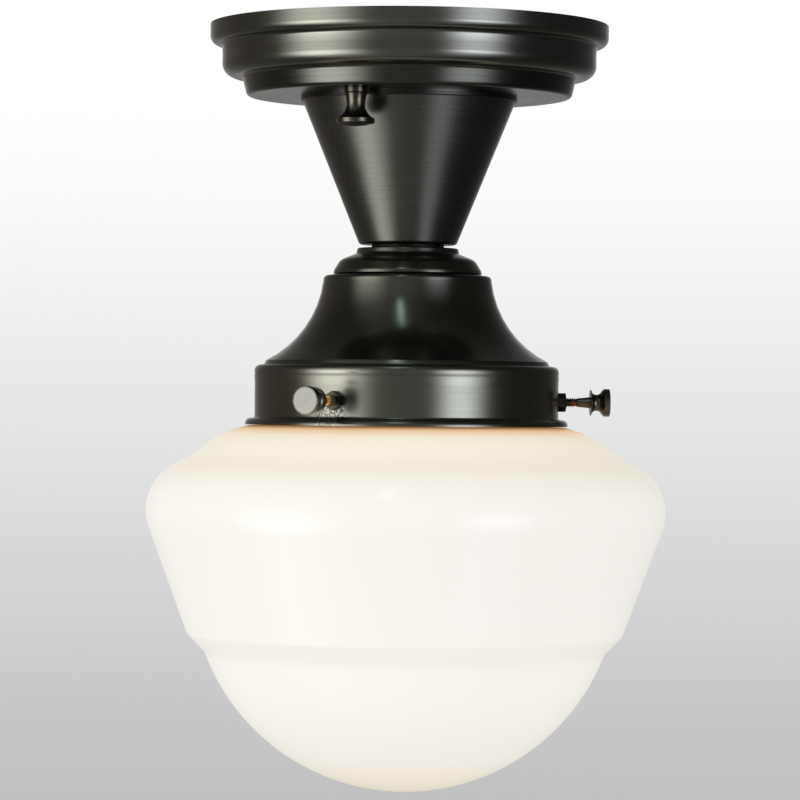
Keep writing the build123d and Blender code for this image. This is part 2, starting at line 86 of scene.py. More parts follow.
def tint(red, green, blue):
    return (red, green, blue, 1.0)


class Finish:  # a material, or the world, built from an empty node tree
    def __init__(self, name, holder=None):
        self.holder = holder or bpy.data.materials.new(name)
        self.holder.use_nodes = True
        self.tree = self.holder.node_tree
        self.tree.nodes.clear()

    def node(self, kind, settings=None, sockets=None, outlet=0):
        made = self.tree.nodes.new("ShaderNode" + kind)
        for name, value in (settings or {}).items():
            if name == "stops":
                ramp = made.color_ramp.elements
                while len(ramp) < len(value):
                    ramp.new(1.0)
                for stop, (place, colour) in zip(ramp, value):
                    stop.position, stop.color = place, colour
            else:
                setattr(made, name, value)
        for name, value in (sockets or {}).items():
            plug(self.tree, made.inputs[name], value)
        return Wire(self.tree, made.outputs[outlet]) if made.outputs else made

    def place(self):
        return self.node("TexCoord", outlet="Object")

    def axes(self, vector):
        parts = self.node("SeparateXYZ", sockets={0: vector})
        return [Wire(self.tree, socket) for socket in parts.socket.node.outputs]

    def blend(self, share, first, second, mode="MIX"):
        settings = {"data_type": "RGBA", "blend_type": mode}
        return self.node("Mix", settings, {0: share, 6: first, 7: second}, outlet=2)

    def darken(self, colour, share):
        return self.blend(1.0, colour, tint(share, share, share), "MULTIPLY")

    def noise(self, scale, detail, place):
        return self.node("TexNoise", sockets={"Vector": place, "Scale": scale, "Detail": detail})

    def lines(self, along, scale, detail):
        sockets = {"W": along, "Scale": scale, "Detail": detail}
        return self.node("TexNoise", {"noise_dimensions": "1D"}, sockets)

    def ease(self, value, low, high, start=0.0, end=1.0):
        sockets = {"Value": value, "From Min": low, "From Max": high, "To Min": start, "To Max": end}
        return self.node("MapRange", {"interpolation_type": "SMOOTHSTEP"}, sockets)

    # a value that noises sway about its middle; each sway is a noise and how far it moves the value in all
    def vary(self, middle, *sways):
        swayed = middle - sum(reach for noise, reach in sways) / 2
        for noise, reach in sways:
            swayed = swayed + noise * reach
        return swayed

    def ramp(self, value, stops):  # a colour by a value; the stops are (value, colour), from low to high
        low, high = stops[0][0], stops[-1][0]
        spread = [((stop - low) / (high - low), tint(*colour)) for stop, colour in stops]
        return self.node("ValToRGB", {"stops": spread}, {"Fac": (value - low) / (high - low)})

    def bump(self, height, depth, strength=1.0):  # depth in millimetres
        return self.node("Bump", sockets={"Strength": strength, "Distance": depth * mm, "Height": height})

    def surface(self, sockets):
        return self.node("BsdfPrincipled", sockets=sockets)

    def done(self, shader, outlet="OutputMaterial"):
        self.node(outlet, sockets={"Surface": shader})
        return self.holder


# the photograph's view: level, 23 degrees round from the front, and a touch rolled; in metres and degrees
view = {"bearing": 23.0, "distance": 1.387, "height": -0.1364, "aside": -0.00237, "roll": 0.5,
        "lens": 171.0, "sensor": 36.0, "clip": (0.05, 50)}
bearing = math.radians(view["bearing"])
facing = Vector((math.sin(bearing), -math.cos(bearing), 0))  # from the light towards the camera
rightward = Vector((-facing.y, facing.x, 0))


def placeCamera():
    lens = bpy.data.cameras.new("photo_camera")
    lens.lens, lens.sensor_width = view["lens"], view["sensor"]
    lens.clip_start, lens.clip_end = view["clip"]
    camera = bpy.data.objects.new("photo_camera", lens)
    bpy.context.scene.collection.objects.link(camera)
    turned = Matrix((rightward, Vector((0, 0, 1)), facing)).transposed().to_4x4()
    rolled = Matrix.Rotation(math.radians(view["roll"]), 4, "Z")
    spot = facing * view["distance"] + rightward * view["aside"] + Vector((0, 0, view["height"]))
    camera.matrix_world = Matrix.Translation(spot) @ turned @ rolled
    bpy.context.scene.camera = camera


placeCamera()
print("camera placed")

# bearings are degrees round from the camera, positive to the right, and tilts are degrees above level
studio = {
    "aim": Vector((0, 0, -0.14)), "away": 1.7, "ambient": 0.40,
    "leftLamp": {"bearing": -56, "tilt": 12, "wide": 34, "tall": 40, "level": 3.4,
                 "colour": (1.0, 0.99, 0.96)},
    "rightLamp": {"bearing": 40, "tilt": 8, "wide": 24, "tall": 40, "level": 2.2,
                  "colour": (0.97, 0.99, 1.0)},
}


def towards(bearing, tilt):
    bearing, tilt = math.radians(bearing), math.radians(tilt)
    level = facing * math.cos(bearing) + rightward * math.sin(bearing)
    return level * math.cos(tilt) + Vector((0, 0, math.sin(tilt)))


def hangLamp(name):  # lights what is matt; metal and glass see the soft boxes below instead
    box = studio[name]
    lamp = bpy.data.lights.new(name, "AREA")
    lamp.shape = "RECTANGLE"
    lamp.size = 2 * studio["away"] * math.tan(math.radians(box["wide"] / 2))
    lamp.size_y = 2 * studio["away"] * math.tan(math.radians(box["tall"] / 2))
    lamp.energy = box["level"] * math.pi * lamp.size * lamp.size_y
    lamp.color = box["colour"]
    holder = bpy.data.objects.new(name, lamp)
    bpy.context.scene.collection.objects.link(holder)
    way = towards(box["bearing"], box["tilt"])
    turned = (-way).to_track_quat("-Z", "Y").to_matrix().to_4x4()
    holder.matrix_world = Matrix.Translation(studio["aim"] + way * studio["away"]) @ turned
    holder.visible_camera = holder.visible_glossy = False


for lampName in ("leftLamp", "rightLamp"):
    hangLamp(lampName)

# the camera sees the backdrop, and glass lets it through: its greys by tilt. Metal sees the room: its tones
# from the left, -1, to the right, 1, the tilts over which it dims, and what is left of it there. Straight
# behind the light metal sees part of the backdrop too, by how nearly straight and by tilt
backdrop = {
    "greys": ((-12.0, (0.40, 0.40, 0.40)), (-5.86, (0.533, 0.533, 0.535)), (-3.9, (0.61, 0.61, 0.612)),
              (-0.3, (0.791, 0.791, 0.793)), (3.0, (0.956, 0.956, 0.957)), (4.4, (1.0, 1.0, 1.0))),
    "room": ((-1.0, (0.20, 0.176, 0.15)), (-0.3, (0.23, 0.215, 0.20)), (0.2, (0.22, 0.215, 0.21)),
             (0.7, (0.085, 0.083, 0.08)), (1.0, (0.055, 0.055, 0.055))),
    "dimTilts": (12, 42), "dimShares": (1.0, 0.5),
    "behind": (-0.90, -0.99), "behindTilts": (-34, -3), "behindShares": (0.10, 0.50),
}
# soft boxes as polished metal sees them: the bearings where the glow starts, is full, starts to fade and
# ends, its colour, its brightness, and its share of that by tilt
softBoxes = {
    "left": {
        "span": (-88, -61, -55, -22), "colour": (1.0, 1.0, 1.0), "level": 9.8,
        "rise": ((-68, 0.02), (-52, 0.09), (-40, 0.26), (-30, 0.70), (-22, 0.96), (-10, 0.98),
                 (0, 0.63), (8, 0.44), (16, 0.25), (28, 0.12), (40, 0.035), (60, 0.01)),
    },
    "right": {
        "span": (18, 38, 42, 66), "colour": (0.94, 0.985, 1.10), "level": 10.2,
        "rise": ((-66, 0.0), (-50, 0.04), (-40, 0.14), (-30, 0.25), (-21, 0.38), (-14, 0.85),
                 (-8, 1.0), (0, 0.72), (8, 0.40), (16, 0.16), (28, 0.05), (40, 0.0)),
    },
    "fill": {
        "span": (-60, -30, -8, 34), "colour": (1.0, 1.0, 0.97), "level": 0.34,
        "rise": ((-70, 0.3), (-45, 0.9), (-27, 0.6), (-12, 0.5), (-2, 1.0), (2, 0.8),
                 (5, 0.3), (9, 0.3), (14, 0.7), (30, 0.8), (50, 0.3), (70, 0.1)),
    },
    "strip": {
        "span": (-17, -12.5, -9, -4.5), "colour": (0.72, 1.0, 1.02), "level": 4.6,
        "rise": ((36, 0.0), (43, 0.8), (50, 1.0), (64, 1.0), (71, 0.6), (78, 0.0)),
    },
}


def paintWorld():
    world = bpy.data.worlds.new("studio")
    bpy.context.scene.world = world
    air = Finish("studio", world)
    way = air.place()
    degrees = 180 / math.pi
    height = air.axes(way)[2]
    tilt = height.reckon("ARCSINE", height) * degrees
    front, side = [air.node("VectorMath", {"operation": "DOT_PRODUCT"}, {0: way, 1: axis}, outlet="Value")
                   for axis in (facing, rightward)]
    bearing = side.reckon("ARCTAN2", side, front) * degrees
    pale = air.ramp(tilt, backdrop["greys"])
    dim = air.ease(tilt, *backdrop["dimTilts"], *backdrop["dimShares"])
    room = air.blend(1.0, air.ramp(side, backdrop["room"]), dim, "MULTIPLY")
    behind = air.ease(front, *backdrop["behind"])
    behind = behind * air.ease(tilt, *backdrop["behindTilts"], *backdrop["behindShares"])
    room = air.blend(behind, room, pale)
    for box in softBoxes.values():
        start, full, fading, end = box["span"]
        share = air.ease(bearing, start, full) * air.ease(bearing, end, fading)
        rise = air.ramp(tilt, [(stop, (part, part, part)) for stop, part in box["rise"]])
        share = share * rise * box["level"]
        glow = air.node("VectorMath", {"operation": "SCALE"}, {0: box["colour"], "Scale": share})
        room = air.blend(1.0, room, glow, "ADD")
    rays = air.node("LightPath").socket.node.outputs
    camera, through, glossy = [Wire(air.tree, rays["Is %s Ray" % kind])
                               for kind in ("Camera", "Transmission", "Glossy")]
    seen = air.blend((camera + through).clipped(), tint(*[studio["ambient"]] * 3), pale)
    seen = air.blend(glossy, seen, room)
    air.done(air.node("Background", sockets={"Color": seen, "Strength": 1.0}), "OutputWorld")


paintWorld()

floorSize = {"drop": 3.0, "reach": 6.4, "steps": 96, "grain": 3.0,
             "greys": ((0.3, (0.52, 0.52, 0.52)), (0.7, (0.56, 0.56, 0.56)))}


def layFloor():
    size = floorSize
    disc = bmesh.new()
    bmesh.ops.create_circle(disc, cap_ends=True, radius=size["reach"], segments=size["steps"])
    bmesh.ops.translate(disc, verts=disc.verts, vec=(0, 0, -size["drop"]))
    sheet = bpy.data.meshes.new("floor")
    disc.to_mesh(sheet)
    disc.free()
    floor = bpy.data.objects.new("floor", sheet)
    bpy.context.scene.collection.objects.link(floor)
    paint = Finish("floorPaint")
    mottle = paint.ramp(paint.noise(size["grain"], 4.0, paint.place()), size["greys"])
    sheet.materials.append(paint.done(paint.surface({"Base Color": mottle, "Roughness": 0.8})))
    floor.visible_glossy = False


layFloor()
bpy.context.scene.view_settings.view_transform = "Standard"
print("studio lit")


class Pen:  # draws half a section, across in x and up in z, in millimetres
    hold = 0.12  # edge loops this far from the ends of a straight run keep its shading flat
    nearby = 0.02  # a run shorter than this is left out between two round corners

    def __init__(self, across, up):
        self.mesh = bmesh.new()
        self.tip = self.mesh.verts.new((across * mm, 0, up * mm))

    def at(self):
        return Vector((self.tip.co.x / mm, self.tip.co.z / mm))

    def line(self, across, up):
        start, end = self.at(), Vector((across, up))
        run = end - start
        held = run * (self.hold / run.length)
        stops = [start + held, end - held] if run.length > 4 * self.hold else []
        for stop in stops + [end]:
            spot = self.mesh.verts.new((stop.x * mm, 0, stop.y * mm))
            self.mesh.edges.new((self.tip, spot))
            self.tip = spot

    def swing(self, centre, turn, step):
        middle = (centre.x * mm, 0, centre.y * mm)
        swung = bmesh.ops.spin(self.mesh, geom=[self.tip], cent=middle, axis=(0, -1, 0),
                               angle=math.radians(turn), steps=max(2, math.ceil(abs(turn) / step)))
        self.tip = [spot for spot in swung["geom_last"] if isinstance(spot, bmesh.types.BMVert)][0]

    def bow(self, across, up, radius, step=7.5):  # an arc; a positive radius bends left of the way it goes
        run = Vector((across, up)) - self.at()
        half = run.length / 2
        side = Vector((-run.y, run.x)).normalized() * math.copysign(1, radius)
        centre = self.at() + run / 2 + side * math.sqrt(max(radius * radius - half * half, 0))
        turn = 2 * math.degrees(math.asin(min(1, half / abs(radius))))
        self.swing(centre, math.copysign(turn, radius), step)

    # straight runs; a corner is (across, up), or (across, up, radius) where it is rounded
    def path(self, corners, lift=0.0, step=7.5):
        corners = list(corners.values())
        spots = [self.at()] + [Vector((corner[0], corner[1] + lift)) for corner in corners]
        rounds = [0] + [corner[2] if len(corner) > 2 else 0 for corner in corners]
        for n in range(1, len(spots)):
            if not rounds[n]:
                self.line(*spots[n])
                continue
            come, go = (spots[n] - spots[n - 1]).normalized(), (spots[n + 1] - spots[n]).normalized()
            turn = math.atan2(come.x * go.y - come.y * go.x, come.dot(go))
            begin = spots[n] - come * rounds[n] * math.tan(abs(turn) / 2)
            if (begin - self.at()).length > self.nearby:
                self.line(*begin)
            centre = begin + Vector((-come.y, come.x)) * math.copysign(rounds[n], turn)
            self.swing(centre, math.degrees(turn), step)


def spinRound(pen, steps, wall=0.0):  # the whole shape from its half section; a sheet gets its wall inside
    mesh = pen.mesh
    bmesh.ops.spin(mesh, geom=mesh.verts[:] + mesh.edges[:], cent=(0, 0, 0), axis=(0, 0, 1),
                   angle=2 * math.pi, steps=steps, use_merge=True)
    bmesh.ops.remove_doubles(mesh, verts=mesh.verts, dist=2e-6)
    bmesh.ops.dissolve_degenerate(mesh, edges=mesh.edges, dist=1e-7)
    bmesh.ops.recalc_face_normals(mesh, faces=mesh.faces)
    if wall:
        bmesh.ops.solidify(mesh, geom=mesh.faces[:], thickness=wall * mm)
    return mesh


sharpAngle = math.radians(34)  # edges that bend more than this stay crisp


def makePiece(name, mesh, material, body, node):
    for face in mesh.faces:
        face.smooth = True
    for edge in mesh.edges:
        edge.smooth = len(edge.link_faces) == 2 and edge.calc_face_angle(0) < sharpAngle
    data = bpy.data.meshes.new(name)
    mesh.to_mesh(data)
    mesh.free()
    data.materials.append(material)
    piece = bpy.data.objects.new(name, data)
    bpy.context.scene.collection.objects.link(piece)
    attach(piece, body)
    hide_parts(node)
    print(name, "made,", len(data.polygons), "faces")


# bronze sheet, spun on a lathe: rings, soft blotches of patina, and dust. Scales are counts to the metre,
# and shares say how far each one sways the tone
spinning = {
    "fineRings": 2600.0, "rings": 900.0, "wideRings": 300.0, "patina": 38.0, "specks": 900.0,
    "patinaShare": 0.7, "fineShare": 0.4, "patinaGloss": 0.08, "ringGloss": 0.05,
    "dust": (0.18, 0.17, 0.15), "dustFrom": (0.68, 0.76), "dustShares": (0.0, 0.25),
    "fineHeight": 0.4, "ringHeight": 0.8, "wideHeight": 0.6, "speckHeight": 0.1,
}
# each zone is a belt of the sheet that is toned darker: its low and high edges in millimetres, the share of
# the tone that is left, and what is added to its roughness. A belt fades out over zoneEdge
canopyTone = {
    "dark": (0.076, 0.077, 0.066), "light": (0.106, 0.107, 0.092), "metal": 0.95, "gloss": 0.22,
    "ringDepth": 0.009, "ringShare": 0.9,
    # the belt on the cone's lip, just under the canopy, is painted shade; the cone's belt and the canopy's
    # lowest step are only toned darker
    "zones": ((-81.0, -28.1, 0.70, 0.05), (-27.8, -26.35, 0.26, 0.10), (-26.1, -19.6, 0.47, 0.0)),
}
holderTone = {
    "dark": (0.080, 0.080, 0.067), "light": (0.108, 0.108, 0.090), "metal": 0.95, "gloss": 0.24,
    "ringDepth": 0.004, "ringShare": 0.4,
    "zones": ((-123.0, -81.0, 0.86, -0.06),),
}
zoneEdge = 0.3
# beads of lacquer run together under the first screw
lacquerRuns = {"centre": (-6.0, -55.1, -142.3), "reach": 6.4, "fullTo": 0.6, "grain": 850.0,
               "edges": (0.42, 0.62), "depth": 0.14}


def spunBronze(name, tone, runs=None):
    lathe = spinning
    paint = Finish(name)
    place = paint.place()
    across, along, up = paint.axes(place)
    travel = (across * across + along * along) ** 0.5 + up  # its lines run round the sheet as rings
    fine = paint.lines(travel, lathe["fineRings"], 1.0)
    rings = paint.lines(travel, lathe["rings"], 2.0)
    wide = paint.lines(travel, lathe["wideRings"], 1.0)
    patina = paint.noise(lathe["patina"], 5.0, place)
    specks = paint.noise(lathe["specks"], 2.0, place)
    share = paint.vary(0.5, (patina, lathe["patinaShare"]), (rings, tone["ringShare"]),
                       (fine, lathe["fineShare"]))
    colour = paint.blend(share.clipped(), tint(*tone["dark"]), tint(*tone["light"]))
    gloss = paint.vary(tone["gloss"], (patina, lathe["patinaGloss"]), (wide, lathe["ringGloss"]))
    for low, high, part, rougher in tone["zones"]:
        inside = paint.ease(up, (low - zoneEdge) * mm, low * mm)
        inside = inside * paint.ease(up, (high + zoneEdge) * mm, high * mm)
        colour = paint.blend(inside, colour, paint.darken(colour, part))
        gloss = gloss + inside * rougher
    dust = paint.ease(specks, *lathe["dustFrom"], *lathe["dustShares"])
    colour = paint.blend(dust, colour, tint(*lathe["dust"]))
    height = rings * lathe["ringHeight"] + fine * lathe["fineHeight"]
    height = height + wide * lathe["wideHeight"] + specks * lathe["speckHeight"]
    normal = paint.bump(height, tone["ringDepth"])
    if runs:
        centre = Vector(runs["centre"]) * mm
        away = paint.node("VectorMath", {"operation": "DISTANCE"}, {0: place, 1: centre}, outlet="Value")
        beads = paint.ease(paint.noise(runs["grain"], 0.0, place), *runs["edges"])
        beads = beads * paint.ease(away, runs["reach"] * mm, runs["reach"] * runs["fullTo"] * mm)
        normal = paint.node("Bump", sockets={"Strength": 1.0, "Distance": runs["depth"] * mm,
                                             "Height": beads, "Normal": normal})
    return paint.done(paint.surface({"Base Color": colour, "Metallic": tone["metal"], "Roughness": gloss,
                                     "Normal": normal}))


canopyBronze = spunBronze("canopyBronze", canopyTone)
holderBronze = spunBronze("holderBronze", holderTone, lacquerRuns)
print("spun bronzes mixed")

# each half section starts at one point and goes through named corners, (across, up) or (across, up, radius),
# in millimetres
canopySize = {
    "wall": 1.2, "steps": 176, "top": (72.6, 0),
    "section": {"rim": (72.6, -7.0, 3.0), "underRim": (68.37, -7.5, 1.3),
                "stepHollow": (68.15, -10.6, 12), "stepFoot": (68.25, -19.1, 4.8),
                "footTop": (60.8, -19.1, 1.3), "footEdge": (59.2, -26.0, 1.8), "stemHole": (5.2, -26.0)},
}


def spinCanopy():
    size = canopySize
    pen = Pen(*size["top"])
    pen.path(size["section"])
    pan = spinRound(pen, size["steps"], size["wall"])
    makePiece("canopyPan", pan, canopyBronze, "fixture", "canopy")


coneSize = {
    "wall": 1.2, "steps": 144, "top": (39.4, -26.0),
    "section": {"lip": (39.4, -27.8, 0.4), "underLip": (38.7, -27.8), "smallEnd": (17.69, -79.8, 1.5),
                "stemHole": (5.2, -79.8)},
}


def spinCone():
    size = coneSize
    pen = Pen(*size["top"])
    pen.path(size["section"])
    cone = spinRound(pen, size["steps"], size["wall"])
    makePiece("taperedCone", cone, canopyBronze, "fixture", "cone")


capSize = {
    "wall": 1.1, "steps": 128, "stemHole": (5.2, -81.1),
    "section": {"shelf": (18.4, -81.1, 0.5), "neck": (18.8, -83.1, 0.9), "brow": (24.6, -85.4, 4.0),
                "skirt": (26.95, -89.3, 1.6), "edge": (27.1, -90.4, 0.3), "undercut": (26.1, -91.1)},
}


def spinCap():
    size = capSize
    pen = Pen(*size["stemHole"])
    pen.path(size["section"])
    cap = spinRound(pen, size["steps"], size["wall"])
    makePiece("neckCap", cap, holderBronze, "fixture", "neck_cap")


bellSize = {
    "wall": 1.2, "steps": 168, "stemHole": (5.2, -91.1),
    "crown": {"edge": (30.5, -91.1, 1.5), "side": (30.75, -93.3)},
    "flare": (51.4, -122.3, 37.7),
    "collar": {"flareFoot": (52.0, -123.7, 0.3), "shoulder": (55.5, -124.2, 2.1),
               "grooveTop": (55.5, -126.45), "grooveFloor": (55.42, -127.05, 0.3),
               "grooveFoot": (55.5, -128.1, 4), "sideTop": (55.38, -131, 12),
               "sideFoot": (55.38, -143.3, 0.9), "rim": (58.8, -143.4, 1.9), "rimFoot": (58.8, -145.7)},
}


def spinBell():
    size = bellSize
    pen = Pen(*size["stemHole"])
    pen.path(size["crown"])
    pen.bow(*size["flare"])
    pen.path(size["collar"])
    bell = spinRound(pen, size["steps"], size["wall"])
    makePiece("holderBell", bell, holderBronze, "fixture", "fitter")


spinCanopy()
spinCone()
spinCap()
spinBell()
print("spun shells done")

# each thumb screw's bearing round the fixture, how far it is backed out of its nut, where its thread ends
# and where the nut has rubbed it bright, both in millimetres from the fixture's axis
thumbScrews = {
    1: {"bearing": -4.0, "backedOut": 3.4, "threadEnd": 65.0, "worn": (62.2, 64.3)},
    2: {"bearing": 116.0, "backedOut": 0.0, "threadEnd": 62.2, "worn": (60.7, 61.5)},
    3: {"bearing": 236.0, "backedOut": 0.0, "threadEnd": 62.2, "worn": (60.7, 61.5)},
}
# neck, groove and head are measured outwards from the disc behind the head
screwSize = {
    "level": -136.8, "steps": 72, "tip": 51.1, "tipRound": 0.25, "core": 1.33, "crest": 1.75, "pitch": 0.8,
    "threadRunOut": 0.35, "shank": 1.58, "disc": 67.3,
    "neck": {"shankFoot": (1.64, -4.0), "collar": (2.05, 0), "discFoot": (4.7, 0, 0.08),
             "discTop": (4.7, 0.35, 0.08), "grooveFoot": (4.6, 0.36)},
    "groove": (4.15, 4.1, -1.95),
    "head": {"brow": (5.05, 5.0, 0.2), "edge": (5.05, 7.05, 0.28), "ringOutside": (4.74, 7.05),
             "ringFloor": (4.66, 7.0), "ringInside": (4.58, 7.05), "dimpleEdge": (0.4, 7.05),
             "dimple": (0, 6.95)},
    "face": 6.9,
    "toothStart": 0.5, "toothHeight": 0.42, "toothSteps": 24, "toothSunk": 0.1, "threadGap": 0.6,
}
# turned brass under a dark bronze coat, rubbed through to copper on the thread's crests; the end faces are
# buffed. Grains are counts to the metre; the crests and the fades at the ends of the wear are in millimetres
screwTone = {
    "coat": (0.052, 0.047, 0.037), "coatLight": (0.088, 0.080, 0.064), "rust": (0.13, 0.04, 0.015),
    "copper": (0.98, 0.40, 0.07), "brass": (1.0, 0.66, 0.20), "buffed": (0.085, 0.084, 0.074),
    "metal": 0.97, "gloss": 0.25, "patinaGloss": 0.12, "wornGloss": 0.06, "rustShare": 0.8,
    "rubbedGrain": 700.0, "patinaGrain": 160.0, "latheGrain": 420.0, "copperGrain": 1500.0,
    "grainDepth": 0.006, "mottleEdges": (0.35, 0.65), "wearEdges": (0.55, 0.85),
    "crest": (1.50, 1.68), "fadeIn": 1.5, "fadeOut": 1.2, "faceEdge": 0.2,
}


def turnedBronze(name, screw=None, shade=1.0):
    tone = screwTone
    paint = Finish(name)
    place = paint.place()
    rubbed = paint.noise(tone["rubbedGrain"], 3.0, place)
    patina = paint.noise(tone["patinaGrain"], 4.0, place)
    lathe = paint.noise(tone["latheGrain"], 1.0, place)
    mottle = paint.ease(patina * 0.7 + lathe * 0.3, *tone["mottleEdges"])
    colour = paint.darken(paint.blend(mottle, tint(*tone["coat"]), tint(*tone["coatLight"])), shade)
    gloss = paint.vary(tone["gloss"], (patina, tone["patinaGloss"]))
    if screw:
        across, along, up = paint.axes(place)
        reach = (across * across + along * along) ** 0.5
        turned = math.radians(screw["bearing"])
        aside = across * math.cos(turned) + along * math.sin(turned)
        rise = up - screwSize["level"] * mm
        crest = paint.ease((aside * aside + rise * rise) ** 0.5, *[edge * mm for edge in tone["crest"]])
        start, end = screw["worn"]
        near = paint.ease(reach, (start - tone["fadeIn"]) * mm, start * mm)
        near = near * paint.ease(reach, (end + tone["fadeOut"]) * mm, end * mm)
        worn = paint.ease(near * paint.vary(1.0, (rubbed, 0.5)), *tone["wearEdges"]) * crest
        copper = paint.noise(tone["copperGrain"], 1.0, place)
        copper = paint.blend(copper, tint(*tone["copper"]), tint(*tone["brass"]))
        colour = paint.blend(near * tone["rustShare"], colour, tint(*tone["rust"]))
        colour = paint.blend(worn, colour, copper)
        face = screwSize["disc"] + screw["backedOut"] + screwSize["face"]
        buffed = paint.ease(reach, (face - tone["faceEdge"]) * mm, face * mm)
        colour = paint.blend(buffed, colour, tint(*tone["buffed"]))
        gloss = gloss + worn * tone["wornGloss"]
    normal = paint.bump(patina + rubbed * 0.2, tone["grainDepth"])
    return paint.done(paint.surface({"Base Color": colour, "Metallic": tone["metal"], "Roughness": gloss,
                                     "Normal": normal}))


def cutThread(mesh, tip, threadEnd):  # one tooth, wound round the core
    size = screwSize
    foot, tall = tip + size["toothStart"], size["pitch"] * size["toothHeight"]
    inner, outer = size["core"] - size["toothSunk"], size["crest"]
    ridge = [mesh.verts.new((across * mm, 0, up * mm))
             for across, up in ((inner, foot), (outer, foot + tall), (inner, foot + 2 * tall))]
    tooth = mesh.faces.new(ridge)
    turns = int((threadEnd - foot - size["threadGap"]) / size["pitch"])
    bmesh.ops.spin(mesh, geom=[tooth] + list(tooth.edges) + list(tooth.verts), cent=(0, 0, 0),
                   axis=(0, 0, 1), dvec=(0, 0, size["pitch"] * mm / size["toothSteps"]),
                   angle=2 * math.pi * turns, steps=size["toothSteps"] * turns)


def turnThumbScrew(number, screw):
    size = screwSize
    tip, disc = size["tip"] + screw["backedOut"], size["disc"] + screw["backedOut"]
    threadEnd = screw["threadEnd"]
    pen = Pen(0, tip)
    pen.path({"tip": (size["core"], tip, size["tipRound"]), "threadEnd": (size["core"], threadEnd),
              "shank": (size["shank"], threadEnd + size["threadRunOut"])})
    pen.path(size["neck"], lift=disc)
    across, up, radius = size["groove"]
    pen.bow(across, up + disc, radius)
    pen.path(size["head"], lift=disc)
    mesh = spinRound(pen, size["steps"])
    cutThread(mesh, tip, threadEnd)
    bearing = math.radians(screw["bearing"])
    outward = Vector((math.sin(bearing), -math.cos(bearing), 0))
    turned = outward.to_track_quat("Z", "X").to_matrix().to_4x4()
    placed = Matrix.Translation((0, 0, size["level"] * mm)) @ turned
    bmesh.ops.transform(mesh, matrix=placed, verts=mesh.verts)
    node = "thumb_screw_%d" % number
    coat = turnedBronze("screwBronze%d" % number, screw)
    makePiece("thumbScrew%d" % number, mesh, coat, node, node)


for screwNumber, screwSettings in thumbScrews.items():
    turnThumbScrew(screwNumber, screwSettings)

# the knob's own axis is "out" from the fixture's
knobSize = {
    "out": 48.3, "steps": 80, "shade": 0.85, "boreEnd": (0, -35),
    "neck": {"boreFoot": (2.13, -35), "boreTop": (2.13, -26), "collarTop": (4.2, -26, 0.2),
             "collarFoot": (4.2, -27.9, 0.3), "groove": (3.75, -27.9), "shoulder": (4.05, -28.2)},
    "waist": (3.3, -32.0, 10.0), "flare": (6.75, -37.1, 5.49),
    "rim": {"edge": (6.75, -38.9, 0.8), "foot": (5.95, -38.9)},
    "crown": (0, -39.8, -20.1),
}
knobBronze = turnedBronze("knobBronze", shade=knobSize["shade"])


def turnKnob(name, node, side):
    size = knobSize
    pen = Pen(*size["boreEnd"])
    pen.path(size["neck"])
    pen.bow(*size["waist"])
    pen.bow(*size["flare"])
    pen.path(size["rim"])
    pen.bow(*size["crown"])
    mesh = spinRound(pen, size["steps"])
    bmesh.ops.translate(mesh, verts=mesh.verts, vec=(0, side * size["out"] * mm, 0))
    makePiece(name, mesh, knobBronze, node, node)


turnKnob("canopyKnobFront", "canopy_knob_front", -1)
turnKnob("canopyKnobRear", "canopy_knob_rear", 1)
print("screws and knobs turned")

# opal glass, lit by the lamp inside it: its glow by height in millimetres, warm at the bottom of the bowl,
# nearly white round the lamp, cream on the shoulder and amber in the holder's shade
glassTone = {
    "body": (0.26, 0.26, 0.25), "gloss": 0.07, "coat": 0.22, "coatGloss": 0.07, "coatBend": 1.5,
    "clouds": 14.0, "cloud": (0.62, 0.58, 0.50), "cloudShare": 0.05, "cloudGloss": 0.04,
    "rippleDepth": 0.12, "ripple": 0.5,
    "glow": ((-279.0, (0.74, 0.68, 0.53)), (-270.5, (0.79, 0.74, 0.63)), (-265.0, (0.79, 0.76, 0.695)),
             (-256.0, (0.80, 0.765, 0.715)), (-240.0, (0.81, 0.785, 0.74)), (-231.0, (0.80, 0.775, 0.73)),
             (-227.5, (0.79, 0.765, 0.715)), (-222.5, (0.79, 0.765, 0.72)), (-212.0, (0.785, 0.76, 0.722)),
             (-178.0, (0.775, 0.75, 0.71)), (-170.6, (0.757, 0.731, 0.69)), (-165.4, (0.74, 0.70, 0.64)),
             (-160.5, (0.735, 0.685, 0.59)), (-155.0, (0.755, 0.70, 0.60)), (-151.0, (0.755, 0.70, 0.56)),
             (-149.0, (0.76, 0.67, 0.50)), (-147.9, (0.76, 0.54, 0.33)), (-147.0, (0.74, 0.46, 0.21)),
             (-146.5, (0.42, 0.20, 0.05)), (-145.8, (0.20, 0.08, 0.01))),
}
glassSize = {
    "wall": 3.0, "steps": 192, "neckTop": (49.0, -133.6),
    "section": {"neckFoot": (49.0, -146.0, 3.5), "seat": (58, -146.0, 10), "dipTop": (68.6, -149.5, 30),
                "dip": (77.2, -156.4, 24), "shoulder": (99.1, -168.1, 18.6), "crease": (79.3, -222.0, 3),
                "bowlTop": (73.0, -228.3)},
    "sectionStep": 4, "bowl": (0, -279.0, -77.9), "bowlStep": 3,
    "mouth": (46.0, -134.4),  # the bead is a ring round the glass's mouth
    "bead": {"foot": (50.8, -134.4, 0.7), "top": (50.8, -131.0, 1.1), "mouthTop": (46.0, -131.0, 0.8),
             "mouthFoot": (46.0, -134.4)},
}


